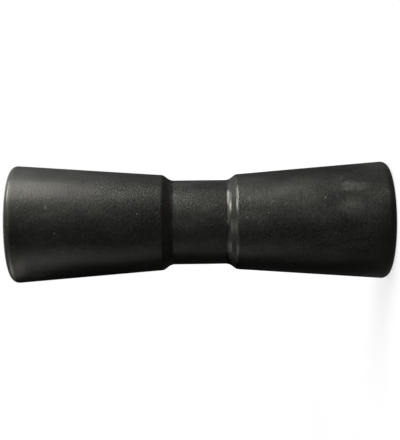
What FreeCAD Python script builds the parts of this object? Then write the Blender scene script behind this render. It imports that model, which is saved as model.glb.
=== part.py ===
import FreeCAD, Part

import math
import os

# Keel roller for a boat trailer: one moulded body of solid rubber that turns on a pin.
# It stands on one flat end. The axis is +Z, and the origin is the centre of the lower end face.
# All sizes are in millimetres.

# Whole roller. The end diameter is the cone's where it meets the end face, before the rim is rounded.
length = 200.0
end_diameter = 62.8
rim_radius = 3.8

# Waist, the plain stretch in the middle that the keel runs on
waist_diameter = 44.8
waist_length = 30.6

# Steps, the two rises from the waist to the cones, each with a rounded foot and a rounded shoulder
step_height = 3.0
step_length = 4.0
foot_radius = 5.0
shoulder_radius = 3.0

# Bore, from end to end, and the pin that goes through it. The clearance is on the diameter.
pin_diameter = 16.0
pin_clearance = 1.0
bore_chamfer = 1.0


def outline_corners():
    """The half section's corners as radius, height and rounding, round the section from the lower bore edge."""
    end = end_diameter / 2
    waist = waist_diameter / 2
    shoulder = waist + step_height
    bore = (pin_diameter + pin_clearance) / 2
    middle = length / 2
    foot_height = waist_length / 2
    shoulder_height = foot_height + step_length
    return [
        (bore + bore_chamfer, 0, 0),
        (end, 0, rim_radius),
        (shoulder, middle - shoulder_height, shoulder_radius),
        (waist, middle - foot_height, foot_radius),
        (waist, middle + foot_height, foot_radius),
        (shoulder, middle + shoulder_height, shoulder_radius),
        (end, length, rim_radius),
        (bore + bore_chamfer, length, 0),
        (bore, length - bore_chamfer, 0),
        (bore, bore_chamfer, 0),
    ]


def rounded_section(corners):
    """A face in the XZ plane with straight sides and an arc at each rounded corner."""
    points = [FreeCAD.Vector(radius, 0, height) for radius, height, rounding in corners]
    count = len(points)
    to_last = [(points[k - 1] - points[k]).normalize() for k in range(count)]
    to_next = [(points[(k + 1) % count] - points[k]).normalize() for k in range(count)]
    half_angle = [to_last[k].getAngle(to_next[k]) / 2 for k in range(count)]
    reach = [corners[k][2] / math.tan(half_angle[k]) for k in range(count)]

    # Two roundings that share a side too short for both are drawn in until they just meet
    share = [1.0] * count
    for k in range(count):
        after = (k + 1) % count
        side = points[k].distanceToPoint(points[after])
        if reach[k] + reach[after] > side:
            fits = side / (reach[k] + reach[after])
            share[k] = min(share[k], fits)
            share[after] = min(share[after], fits)

    edges = []
    starts = [points[k] + to_last[k] * (reach[k] * share[k]) for k in range(count)]
    ends = [points[k] + to_next[k] * (reach[k] * share[k]) for k in range(count)]
    for k in range(count):
        if reach[k] > 0:
            radius = reach[k] * share[k] * math.tan(half_angle[k])
            inwards = (to_last[k] + to_next[k]).normalize()
            on_arc = points[k] + inwards * (radius / math.sin(half_angle[k]) - radius)
            edges.append(Part.Arc(starts[k], on_arc, ends[k]).toShape())
        after = (k + 1) % count
        if ends[k].distanceToPoint(starts[after]) > Part.Precision.confusion():
            edges.append(Part.LineSegment(ends[k], starts[after]).toShape())
    return Part.Face(Part.Wire(edges))


def roller():
    """The whole roller: its half section, turned once round the axis."""
    section = rounded_section(outline_corners())
    return section.revolve(FreeCAD.Vector(0, 0, 0), FreeCAD.Vector(0, 0, 1), 360)


os.makedirs("parts", exist_ok=True)
roller().exportStep("parts/roller.step")
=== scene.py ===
import math

import bmesh
import bpy
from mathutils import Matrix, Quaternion, Vector


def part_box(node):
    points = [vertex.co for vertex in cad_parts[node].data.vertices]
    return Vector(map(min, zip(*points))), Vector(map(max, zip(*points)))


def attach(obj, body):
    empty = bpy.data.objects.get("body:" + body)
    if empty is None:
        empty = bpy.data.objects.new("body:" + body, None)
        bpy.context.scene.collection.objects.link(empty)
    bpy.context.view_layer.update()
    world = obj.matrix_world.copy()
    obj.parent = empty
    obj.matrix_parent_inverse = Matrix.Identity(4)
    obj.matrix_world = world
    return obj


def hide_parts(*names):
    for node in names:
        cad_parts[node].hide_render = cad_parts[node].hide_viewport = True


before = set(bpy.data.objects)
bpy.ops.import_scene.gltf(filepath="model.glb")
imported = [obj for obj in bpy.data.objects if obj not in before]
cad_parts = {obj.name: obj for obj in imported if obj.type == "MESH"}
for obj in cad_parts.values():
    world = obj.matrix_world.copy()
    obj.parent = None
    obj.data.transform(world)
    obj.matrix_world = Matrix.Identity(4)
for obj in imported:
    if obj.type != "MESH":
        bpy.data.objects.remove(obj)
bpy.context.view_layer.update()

# Roller
# One moulding of solid black rubber: two cones, a rounded step at the foot of each, a plain waist
# between them and a bore for the bracket's pin. It stands on one of its flat ends.
roller_low, roller_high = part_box("roller")
roller_length = roller_high.z - roller_low.z
end_radius = 0.03139
shoulder_radius = 0.0254
waist_radius = 0.0224
half_waist = 0.0153
step_length = 0.0040
bore_radius = 0.0085
bore_chamfer = 0.001
middle = roller_length / 2
half_cones = half_waist + step_length
turns = 256
rounding_segments = 14
cone_cuts = 15
sharp_edge = math.radians(30)

# Each ring where the section turns, as its radius and height, with the rounding that runs on to both sides
rings = [
    (end_radius, 0.0, 0.0038),
    (shoulder_radius, middle - half_cones, 0.0030),
    (waist_radius, middle - half_waist, 0.0050),
    (waist_radius, middle + half_waist, 0.0050),
    (shoulder_radius, middle + half_cones, 0.0030),
    (end_radius, roller_length, 0.0038),
]
bore_rings = [
    (bore_radius + bore_chamfer, roller_length),
    (bore_radius, roller_length - bore_chamfer),
    (bore_radius, bore_chamfer),
    (bore_radius + bore_chamfer, 0.0),
]

mesh = bmesh.new()
corners = [Vector((radius, 0, height)) for radius, height, rounding in rings]
corners += [Vector((radius, 0, height)) for radius, height in bore_rings]
section = [mesh.verts.new(corner) for corner in corners]
sides = [mesh.edges.new((section[k - 1], section[k])) for k in range(len(section))]
bmesh.ops.spin(mesh, geom=section + sides, cent=(0, 0, 0), axis=(0, 0, 1), angle=math.tau,
               steps=turns, use_merge=True)
bmesh.ops.remove_doubles(mesh, verts=mesh.verts, dist=1e-6)
bmesh.ops.recalc_face_normals(mesh, faces=mesh.faces)
for k, (radius, height, rounding) in enumerate(rings):
    to_last = (corners[k - 1] - corners[k]).normalized()
    to_next = (corners[k + 1] - corners[k]).normalized()
    reach = rounding / math.tan(to_last.angle(to_next) / 2)
    ring = [edge for edge in mesh.edges
            if all(abs(v.co.z - height) < 1e-6 and abs(v.co.xy.length - radius) < 1e-6 for v in edge.verts)]
    bmesh.ops.bevel(mesh, geom=ring, offset=reach, offset_type="OFFSET", segments=rounding_segments,
                    profile=0.5, affect="EDGES", material=-1, clamp_overlap=True)
long_edges = [edge for edge in mesh.edges if abs(edge.verts[0].co.z - edge.verts[1].co.z) > 0.02]
bmesh.ops.subdivide_edges(mesh, edges=long_edges, cuts=cone_cuts, use_grid_fill=True)
for face in mesh.faces:
    face.smooth = True
for edge in mesh.edges:
    edge.smooth = edge.calc_face_angle() < sharp_edge
roller_mesh = bpy.data.meshes.new("moulded_roller")
mesh.to_mesh(roller_mesh)
mesh.free()
moulded_roller = bpy.data.objects.new("moulded_roller", roller_mesh)
bpy.context.scene.collection.objects.link(moulded_roller)
flat_sides = moulded_roller.modifiers.new("flat_sides", "WEIGHTED_NORMAL")
flat_sides.mode = "FACE_AREA"
flat_sides.keep_sharp = True

# The finish: satin black rubber as it leaves the mould, with a grey bloom that comes to its surface in
# store, and the dust and small scuffs of handling, which lie mostly on the side that was up
black_rubber = (0.0035, 0.0035, 0.0034, 1)
thin_film = (0.0215, 0.0213, 0.0200, 1)
grey_bloom = (0.075, 0.074, 0.068, 1)
brown_rust = (0.045, 0.020, 0.008, 1)
pale_dust_and_highlight = (0.62, 0.60, 0.54, 1)
rubber = bpy.data.materials.new("satin_black_rubber")
rubber.use_nodes = True
nodes = rubber.node_tree.nodes
links = rubber.node_tree.links
surface = nodes["Principled BSDF"]
# The gloss is tinted warm to stand in for warm lamp light: a painted warm tint on every reflection.
surface.inputs["Specular Tint"].default_value = (1.0, 0.985, 0.86, 1)
place = nodes.new("ShaderNodeTexCoord").outputs["Object"]


def faded(amount, low, high, least=0.0, most=1.0):
    """The amount turned into least where it is under low and most where it is over high."""
    fade = nodes.new("ShaderNodeMapRange")
    fade.interpolation_type = "SMOOTHSTEP"
    fade.inputs["From Min"].default_value = low
    fade.inputs["From Max"].default_value = high
    fade.inputs["To Min"].default_value = least
    fade.inputs["To Max"].default_value = most
    links.new(amount, fade.inputs["Value"])
    return fade.outputs["Result"]


def combined(way, first, second=0.0):
    """Two amounts, or an amount and a number, put together. A root or an absolute takes only the first."""
    total = nodes.new("ShaderNodeMath")
    total.operation = way
    links.new(first, total.inputs[0])
    if isinstance(second, float):
        total.inputs[1].default_value = second
    else:
        links.new(second, total.inputs[1])
    return total.outputs[0]


def cloud(size, detail, where):
    """Noise whose patches are about one size across, in metres."""
    noise = nodes.new("ShaderNodeTexNoise")
    noise.inputs["Scale"].default_value = 1 / size
    noise.inputs["Detail"].default_value = detail
    links.new(where, noise.inputs["Vector"])
    return noise


def mark(height, angle, long, wide, lean, edge, where):
    """How far inside one small mark a point is: 1 over its middle, 0 outside it.
    Heights and sizes are in millimetres, the angle is from the camera's side towards +X."""
    depth = 0.006
    turned = math.radians(angle)
    share = abs(height / 1000 - middle) / middle
    radius = waist_radius + (end_radius - waist_radius) * share
    at = nodes.new("ShaderNodeMapping")
    at.vector_type = "TEXTURE"
    at.inputs["Location"].default_value = (radius * math.sin(turned), -radius * math.cos(turned),
                                           height / 1000)
    at.inputs["Rotation"].default_value = (0, math.radians(lean), turned)
    at.inputs["Scale"].default_value = (long / 2000, depth, wide / 2000)
    links.new(where, at.inputs["Vector"])
    reach = nodes.new("ShaderNodeVectorMath")
    reach.operation = "LENGTH"
    links.new(at.outputs["Vector"], reach.inputs[0])
    return faded(reach.outputs["Value"], edge, 1.0, 1.0, 0.0)


# How far a point is towards the side that was up, from -1 to 1, and where the rims and the lower step are.
# That step is rubbed smooth, so it has less bloom and grain and more gloss than the rest.
spot = nodes.new("ShaderNodeSeparateXYZ")
links.new(place, spot.inputs[0])
across = combined("ADD", combined("MULTIPLY", spot.outputs["X"], spot.outputs["X"]),
                  combined("MULTIPLY", spot.outputs["Y"], spot.outputs["Y"]))
facing_up = combined("DIVIDE", spot.outputs["X"], combined("SQRT", across))
from_middle = combined("ABSOLUTE", combined("SUBTRACT", spot.outputs["Z"], middle))
upward = faded(facing_up, -0.10, 0.50)
# The underside, facing away from the light, is painted darker: a painted shade that takes its film and bloom
# off.
shaded_underside = faded(facing_up, -0.90, -0.55, 1.0, 0.0)
rims = faded(from_middle, middle - 0.014, middle - 0.002)
rubbed_middle = half_waist + step_length * 0.4
from_step = combined("ABSOLUTE", combined("SUBTRACT", from_middle, rubbed_middle))
lower_half = faded(spot.outputs["Z"], middle - 0.010, middle - 0.004, 1.0, 0.0)
rubbed_step = combined("MULTIPLY", faded(from_step, 0.0025, 0.0038, 1.0, 0.0), lower_half)

# The bloom: broad clouds, fine mottling in them, and a few patches with ragged edges
streaked = nodes.new("ShaderNodeVectorMath")
streaked.operation = "MULTIPLY"
streaked.inputs[1].default_value = (1.0, 1.0, 0.45)
links.new(place, streaked.inputs[0])
broad_cloud = cloud(0.011, 5.0, streaked.outputs["Vector"])
fine_cloud = cloud(0.0024, 4.0, place)
ragged_by = 0.0036
ragged = nodes.new("ShaderNodeVectorMath")
ragged.operation = "MULTIPLY_ADD"
ragged.inputs[1].default_value = (ragged_by, ragged_by, ragged_by)
links.new(cloud(0.005, 4.0, place).outputs["Color"], ragged.inputs[0])
ragged_offset = nodes.new("ShaderNodeVectorMath")
ragged_offset.operation = "SUBTRACT"
ragged_offset.inputs[1].default_value = (ragged_by / 2, ragged_by / 2, ragged_by / 2)
links.new(place, ragged_offset.inputs[0])
links.new(ragged_offset.outputs["Vector"], ragged.inputs[2])

# Each patch: height and angle on the roller, length round it and width along it, lean, where its edge
# starts to fade, and strength
bloom_patches = [
    (178.1, 16.4, 3.0, 2.4, 0, 0.60, 0.90),
    (170.8, 4.1, 1.7, 1.4, 0, 0.30, 0.35),
    (141.7, 32.3, 9.0, 22.0, 0, 0.00, 0.30),
    (96.3, 20.3, 9.0, 14.0, 0, 0.00, 0.20),
    (74.8, 26.5, 4.6, 3.2, 10, 0.20, 0.50),
    (70.4, 37.0, 3.8, 2.6, 0, 0.20, 0.40),
    (53.7, 34.8, 10.0, 36.0, 0, 0.00, 0.25),
    (27.0, 49.0, 7.0, 3.0, 25, 0.10, 0.35),
    (23.5, 14.5, 12.0, 19.0, 0, 0.10, 0.48),
    (23.6, 36.8, 8.4, 11.0, 0, 0.55, 0.62),
    (18.6, 35.4, 7.0, 14.0, -6, 0.35, 0.45),
]
patches = None
for height, angle, long, wide, lean, softness, strength in bloom_patches:
    inside = mark(height, angle, long, wide, lean, softness, ragged.outputs["Vector"])
    patch = combined("MULTIPLY", inside, strength)
    patches = patch if patches is None else combined("MAXIMUM", patches, patch)
mottle = faded(fine_cloud.outputs["Fac"], 0.35, 0.68, 0.50, 1.0)
haze = combined("MULTIPLY", faded(broad_cloud.outputs["Fac"], 0.42, 0.72), 0.22)
# The rims and the lower step lose film and bloom as wear, the rims less on the side that was up; the
# underside loses them as painted shade.
worn_rims = combined("MULTIPLY", rims, faded(facing_up, 0.0, 0.6, 0.9, 0.35))
worn_rims_and_shaded_underside = combined("MAXIMUM", shaded_underside, worn_rims)
wear_and_painted_shade = combined("MAXIMUM", worn_rims_and_shaded_underside, combined("MULTIPLY", rubbed_step, 0.8))
wiped_and_shaded = faded(wear_and_painted_shade, 0.0, 1.0, 1.0, 0.10)
bloom = combined("MULTIPLY", combined("MULTIPLY", combined("ADD", haze, patches), mottle), wiped_and_shaded)
film_grain = faded(cloud(0.0010, 3.0, place).outputs["Fac"], 0.30, 0.70, 0.25, 1.75)
film_cloud = combined("MULTIPLY", faded(broad_cloud.outputs["Fac"], 0.30, 0.70, 0.75, 1.25), film_grain)
film = combined("MULTIPLY", film_cloud, combined("MULTIPLY", wiped_and_shaded, 0.6))

# The dust: fine specks all over the side that was up, and the single specks, streaks and scuffs that
# stand out, each with its height, angle, length, width, lean and strength; the last is partly a painted
# highlight
speck_cells = nodes.new("ShaderNodeTexVoronoi")
speck_cells.inputs["Scale"].default_value = 800
links.new(place, speck_cells.inputs["Vector"])
cell_tone = nodes.new("ShaderNodeSeparateColor")
links.new(speck_cells.outputs["Color"], cell_tone.inputs[0])
chosen = faded(cell_tone.outputs["Red"], 0.80, 1.0)
small_specks = faded(speck_cells.outputs["Distance"], 0.10, 0.40, 1.0, 0.0)
fine_dust = combined("MULTIPLY", combined("MULTIPLY", small_specks, chosen), upward)
scuffs_and_rim_highlight = [
    (173.8, -9.0, 0.8, 0.7, 0, 1.00), (180.4, -4.4, 0.7, 0.6, 0, 0.60), (185.0, 7.9, 0.6, 0.5, 0, 0.45),
    (194.9, -20.9, 0.6, 0.5, 0, 0.60), (197.0, 0.4, 0.6, 0.6, 0, 0.60), (191.6, 0.0, 0.6, 0.5, 0, 0.30),
    (188.2, -0.7, 0.5, 0.5, 0, 0.35), (177.1, 26.4, 0.6, 0.6, 0, 0.70), (168.9, 13.3, 1.3, 0.5, 55, 0.70),
    (168.8, 3.0, 1.0, 0.4, 45, 0.35), (157.6, 19.5, 0.9, 0.5, 80, 0.50), (165.9, 43.8, 0.6, 0.5, 0, 0.50),
    (144.2, 38.1, 0.7, 0.6, 0, 0.60), (139.0, 30.3, 0.8, 0.7, 0, 0.60), (141.0, 26.1, 1.0, 0.5, 120, 0.50),
    (144.4, 32.9, 1.2, 0.6, 60, 0.30), (148.6, 45.1, 0.7, 0.5, 30, 0.40), (151.0, 42.0, 1.0, 0.4, 130, 0.35),
    (140.3, 41.8, 1.5, 0.4, 40, 0.40), (147.6, 15.1, 0.6, 0.5, 30, 0.20), (141.1, 3.4, 0.6, 0.5, 0, 0.20),
    (192.4, 16.1, 3.1, 0.4, 50, 0.25), (191.0, 18.4, 2.1, 0.4, 50, 0.20), (159.4, -10.9, 0.5, 0.5, 0, 0.20),
    (142.6, -7.8, 0.5, 0.5, 0, 0.15), (132.0, 10.2, 1.0, 0.8, 0, 0.75), (132.9, -13.9, 0.9, 0.7, 60, 0.30),
    (128.5, 18.5, 1.3, 0.5, 110, 0.35), (125.9, 16.0, 1.0, 0.5, 100, 0.30),
    (122.0, 11.5, 1.6, 0.5, 130, 0.35),
    (122.6, 41.2, 0.9, 0.6, 120, 0.35), (124.6, 42.7, 0.7, 0.5, 0, 0.30), (111.6, 16.7, 1.3, 0.5, 35, 0.35),
    (91.7, 22.7, 0.7, 0.7, 0, 0.60), (88.4, 10.6, 0.7, 0.7, 0, 0.60), (95.8, 25.6, 1.6, 0.5, 115, 0.30),
    (86.1, 0.5, 2.6, 0.5, 0, 0.30), (87.4, 3.8, 1.0, 0.5, 0, 0.25), (100.7, 24.9, 1.1, 0.7, 60, 0.25),
    (102.9, -0.6, 0.5, 0.5, 0, 0.25), (95.6, 58.4, 1.0, 0.6, 60, 0.30), (83.3, -13.0, 0.7, 0.5, 0, 0.40),
    (76.1, 4.6, 1.9, 0.5, 50, 0.40), (77.7, -12.1, 0.6, 0.5, 0, 0.20), (76.5, -34.9, 1.5, 0.4, 95, 0.45),
    (72.4, 20.2, 0.6, 0.5, 0, 0.30), (70.8, 12.2, 0.6, 0.5, 0, 0.30), (35.9, 24.4, 1.3, 0.9, 10, 1.00),
    (30.1, 25.1, 0.7, 0.6, 0, 0.45), (25.3, 24.6, 0.8, 0.5, 20, 0.45), (62.5, 22.6, 2.2, 0.5, 85, 0.55),
    (63.4, 20.4, 1.1, 0.5, 30, 0.40), (56.3, 18.8, 2.5, 0.4, 95, 0.35), (65.0, 9.4, 0.7, 0.6, 0, 0.60),
    (65.2, 13.2, 0.7, 0.6, 60, 0.35), (41.3, 11.7, 0.6, 0.6, 0, 0.50), (59.4, -2.3, 0.6, 0.5, 60, 0.50),
    (23.2, 10.7, 0.6, 0.5, 0, 0.30), (50.5, 25.3, 0.7, 0.6, 0, 0.35), (4.4, 27.7, 4.1, 0.5, 95, 0.20),
    # The last entry is a large pale patch low on the top rim: partly dust, partly a painted highlight of
    # that corner.
    (4.3, -2.5, 2.6, 0.4, 120, 0.15), (4.1, -6.3, 2.1, 0.4, 60, 0.15), (194.2, -51.0, 22.0, 11.0, 20, 0.20),
]
dust_and_rim_highlight = combined("MULTIPLY", fine_dust, 0.07)
for height, angle, long, wide, lean, strength in scuffs_and_rim_highlight:
    pale_mark = combined("MULTIPLY", mark(height, angle, long, wide, lean, 0.3, place), strength * 0.4)
    dust_and_rim_highlight = combined("MAXIMUM", dust_and_rim_highlight, pale_mark)


def over(below, tint, amount):
    """One colour laid over another, as thickly as the amount says."""
    layer = nodes.new("ShaderNodeMix")
    layer.data_type = "RGBA"
    layer.inputs["B"].default_value = tint
    links.new(amount, layer.inputs["Factor"])
    if isinstance(below, tuple):
        layer.inputs["A"].default_value = below
    else:
        links.new(below, layer.inputs["A"])
    return layer.outputs["Result"]


rust_stain = combined("MULTIPLY", mark(117.1, 20.0, 9.0, 3.4, 0, 0.2, ragged.outputs["Vector"]), 0.35)
tone = over(black_rubber, thin_film, film)
tone = over(tone, grey_bloom, bloom)
tone = over(tone, brown_rust, rust_stain)
tone = over(tone, pale_dust_and_highlight, dust_and_rim_highlight)
links.new(tone, surface.inputs["Base Color"])

# Gloss: the bloom and the dust dull it, and the polish of the mould runs round the roller in fine rings
ring_polish = nodes.new("ShaderNodeTexNoise")
ring_polish.noise_dimensions = "1D"
ring_polish.inputs["Scale"].default_value = 700
ring_polish.inputs["Detail"].default_value = 4
links.new(spot.outputs["Z"], ring_polish.inputs["W"])
dullness = combined("MULTIPLY", combined("ADD", bloom, dust_and_rim_highlight), 0.16)
polish = faded(ring_polish.outputs["Fac"], 0.3, 0.7, -0.012, 0.012)
clouded = faded(broad_cloud.outputs["Fac"], 0.3, 0.7, 0.320, 0.350)
on_steps = combined("ADD", combined("MULTIPLY", rubbed_step, -0.11), combined("MULTIPLY", rims, 0.04))
uneven = combined("ADD", combined("ADD", clouded, polish), dullness)
links.new(combined("ADD", uneven, on_steps), surface.inputs["Roughness"])

# The surface itself: slow waves from the mould's hand polish, its rings, and a fine grain
waves = nodes.new("ShaderNodeBump")
links.new(faded(rubbed_step, 0.0, 1.0, 1.0, 0.15), waves.inputs["Strength"])
waves.inputs["Distance"].default_value = 0.00005
links.new(cloud(0.009, 2.0, place).outputs["Fac"], waves.inputs["Height"])
ring_bump = nodes.new("ShaderNodeBump")
ring_bump.inputs["Strength"].default_value = 1.0
ring_bump.inputs["Distance"].default_value = 0.000003
links.new(ring_polish.outputs["Fac"], ring_bump.inputs["Height"])
links.new(waves.outputs["Normal"], ring_bump.inputs["Normal"])
grain = nodes.new("ShaderNodeBump")
links.new(faded(rubbed_step, 0.0, 1.0, 1.0, 0.05), grain.inputs["Strength"])
grain.inputs["Distance"].default_value = 0.000130
links.new(cloud(0.0008, 3.0, place).outputs["Fac"], grain.inputs["Height"])
links.new(ring_bump.outputs["Normal"], grain.inputs["Normal"])
links.new(grain.outputs["Normal"], surface.inputs["Normal"])
moulded_roller.data.materials.append(rubber)

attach(moulded_roller, "root")
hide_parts("roller")

# Floor
# A plain white studio floor. The camera sees it as white paper with the roller's soft shadow on it, while
# the rubber meets it as a dim surface, a little brighter right beside the base, where it lights the rim.
floor_radius = 6.0
mesh = bmesh.new()
bmesh.ops.create_circle(mesh, cap_ends=True, radius=floor_radius, segments=96)
floor_mesh = bpy.data.meshes.new("studio_floor")
mesh.to_mesh(floor_mesh)
mesh.free()
studio_floor = bpy.data.objects.new("studio_floor", floor_mesh)
bpy.context.scene.collection.objects.link(studio_floor)

floor_paper = bpy.data.materials.new("white_paper")
floor_paper.use_nodes = True
nodes = floor_paper.node_tree.nodes
links = floor_paper.node_tree.links
paper = nodes["Principled BSDF"]
paper.inputs["Roughness"].default_value = 0.9
paper.inputs["Specular IOR Level"].default_value = 0.0
paper.inputs["Emission Color"].default_value = (1, 1, 1, 1)
ray = nodes.new("ShaderNodeLightPath")
place = nodes.new("ShaderNodeTexCoord")
away = nodes.new("ShaderNodeVectorMath")
away.operation = "LENGTH"
links.new(place.outputs["Object"], away.inputs[0])

# What the gloss of the rubber meets: the floor beside the base, fading outwards
beside = nodes.new("ShaderNodeMapRange")
beside.inputs["From Min"].default_value = 0.04
beside.inputs["From Max"].default_value = 0.16
beside.inputs["To Min"].default_value = 0.17
beside.inputs["To Max"].default_value = 0.03
links.new(away.outputs["Value"], beside.inputs["Value"])

# What the camera sees: paper that takes the shadow near the roller and is pure white further off
whiter = nodes.new("ShaderNodeMapRange")
whiter.inputs["From Min"].default_value = 0.4
whiter.inputs["From Max"].default_value = 1.4
whiter.inputs["To Min"].default_value = 0.72
whiter.inputs["To Max"].default_value = 1.0
links.new(away.outputs["Value"], whiter.inputs["Value"])
seen = combined("MAXIMUM", ray.outputs["Is Camera Ray"], ray.outputs["Is Transmission Ray"])
mirrored = combined("MULTIPLY", ray.outputs["Is Glossy Ray"], beside.outputs["Result"])
shown = combined("MAXIMUM", seen, mirrored)
glow = combined("MULTIPLY", shown, whiter.outputs["Result"])
links.new(glow, paper.inputs["Emission Strength"])
paper_tone = nodes.new("ShaderNodeMix")
paper_tone.data_type = "RGBA"
paper_tone.inputs["A"].default_value = (0.010, 0.010, 0.010, 1)
paper_tone.inputs["B"].default_value = (0.30, 0.30, 0.30, 1)
links.new(seen, paper_tone.inputs["Factor"])
links.new(paper_tone.outputs["Result"], paper.inputs["Base Color"])
studio_floor.data.materials.append(floor_paper)

# Lamps
# Soft boxes round the roller. Four stand close with their beams held narrow, for the rim and the lower step.
# Each has its azimuth from the camera's side towards +X in degrees, distance from the axis, height of its
# centre, height it faces, width, height, the angle its beam is held to, and brightness.
soft_boxes = {
    "key_box": (71.5, 0.50, 0.26, 0.26, 0.365, 0.06, 180, 14.0),
    "halo_front": (48.0, 0.50, 0.39, 0.39, 0.46, 0.39, 180, 0.54),
    "halo_back": (101.0, 0.50, 0.39, 0.39, 0.46, 0.39, 180, 0.54),
    "low_box": (-72.0, 0.50, 0.20, 0.20, 0.31, 0.16, 180, 0.62),
    "side_box": (-80.0, 0.50, 0.44, 0.44, 0.265, 0.30, 180, 1.10),
    "rim_box": (-108.0, 1.700, 1.100, 0.10, 0.90, 0.90, 180, 0.20),
    "far_box": (73.4, 1.723, 1.115, 0.10, 1.53, 1.43, 180, 2.98),
    "high_box": (72.0, 1.040, 1.808, 0.10, 1.33, 0.78, 180, 0.45),
    "front_box": (22.7, 1.824, 0.919, 0.10, 2.02, 0.66, 180, 1.43),
    "far_side_box": (-51.6, 1.714, 1.131, 0.10, 1.74, 1.26, 180, 0.46),
    "end_box": (88.0, 0.110, 0.290, 0.180, 0.12, 0.04, 18, 0.62),
    "low_end_box": (-104.0, 0.090, 0.225, 0.180, 0.10, 0.05, 40, 0.17),
    "step_box": (50.0, 0.150, 0.200, 0.064, 0.20, 0.05, 30, 0.40),
    "low_step_box": (-14.0, 0.105, 0.232, 0.064, 0.40, 0.06, 30, 0.09),
    "back_box": (172.0, 1.100, 1.000, 0.10, 0.60, 0.90, 180, 2.80),
}
for name, (azimuth, distance, height, faced, wide, high, beam, brightness) in soft_boxes.items():
    lamp = bpy.data.objects.new(name, bpy.data.lights.new(name, "AREA"))
    turned = math.radians(azimuth)
    lamp.location = (distance * math.sin(turned), -distance * math.cos(turned), height)
    aim = Vector((0, 0, faced)) - lamp.location
    lamp.rotation_mode = "QUATERNION"
    lamp.rotation_quaternion = aim.to_track_quat("-Z", "Y")
    lamp.data.shape = "RECTANGLE"
    lamp.data.size = wide
    lamp.data.size_y = high
    lamp.data.spread = math.radians(beam)
    lamp.data.energy = math.pi * wide * high * brightness
    lamp.visible_camera = False
    bpy.context.scene.collection.objects.link(lamp)

# Camera
# The roller stands and the photo shows it lying, so the camera is rolled a quarter turn:
# the roller's top end is at the picture's left.
camera = bpy.data.objects.new("camera", bpy.data.cameras.new("camera"))
camera.data.lens = 81.09
camera.data.sensor_width = 36
camera.location = (0.00115, -0.530, 0.1021)
look = Vector((0, 1, -math.tan(math.radians(0.24)))).to_track_quat("-Z", "Y")
camera.rotation_mode = "QUATERNION"
camera.rotation_quaternion = look @ Quaternion((0, 0, 1), math.radians(-90.76))
bpy.context.scene.collection.objects.link(camera)
bpy.context.scene.camera = camera

# World
# A white studio to the camera. The rubber meets surroundings that fade from bright over the key side to dark
# on the far side, because a gloss this black shows what stands round it.
world = bpy.data.worlds.new("studio")
world.use_nodes = True
nodes = world.node_tree.nodes
links = world.node_tree.links
backdrop = nodes["Background"]
outward = nodes.new("ShaderNodeTexCoord")
towards = nodes.new("ShaderNodeVectorMath")
towards.operation = "DOT_PRODUCT"
lit_azimuth = math.radians(93.7)
lit_rise = math.radians(61.6)
towards.inputs[1].default_value = (math.sin(lit_azimuth) * math.cos(lit_rise),
                                   -math.cos(lit_azimuth) * math.cos(lit_rise), math.sin(lit_rise))
links.new(outward.outputs["Generated"], towards.inputs[0])
fade = nodes.new("ShaderNodeMapRange")
fade.interpolation_type = "SMOOTHERSTEP"
fade.inputs["From Min"].default_value = -0.10
fade.inputs["From Max"].default_value = 1.0
fade.inputs["To Min"].default_value = 0.0
fade.inputs["To Max"].default_value = 0.55
links.new(towards.outputs["Value"], fade.inputs["Value"])
ray = nodes.new("ShaderNodeLightPath")
seen = combined("MAXIMUM", ray.outputs["Is Camera Ray"], ray.outputs["Is Transmission Ray"])
level = nodes.new("ShaderNodeMix")
level.data_type = "FLOAT"
links.new(seen, level.inputs["Factor"])
links.new(fade.outputs["Result"], level.inputs["A"])
level.inputs["B"].default_value = 1.0
links.new(level.outputs["Result"], backdrop.inputs["Strength"])
backdrop.inputs["Color"].default_value = (1, 1, 1, 1)
bpy.context.scene.world = world

bpy.context.scene.view_settings.view_transform = "Standard"
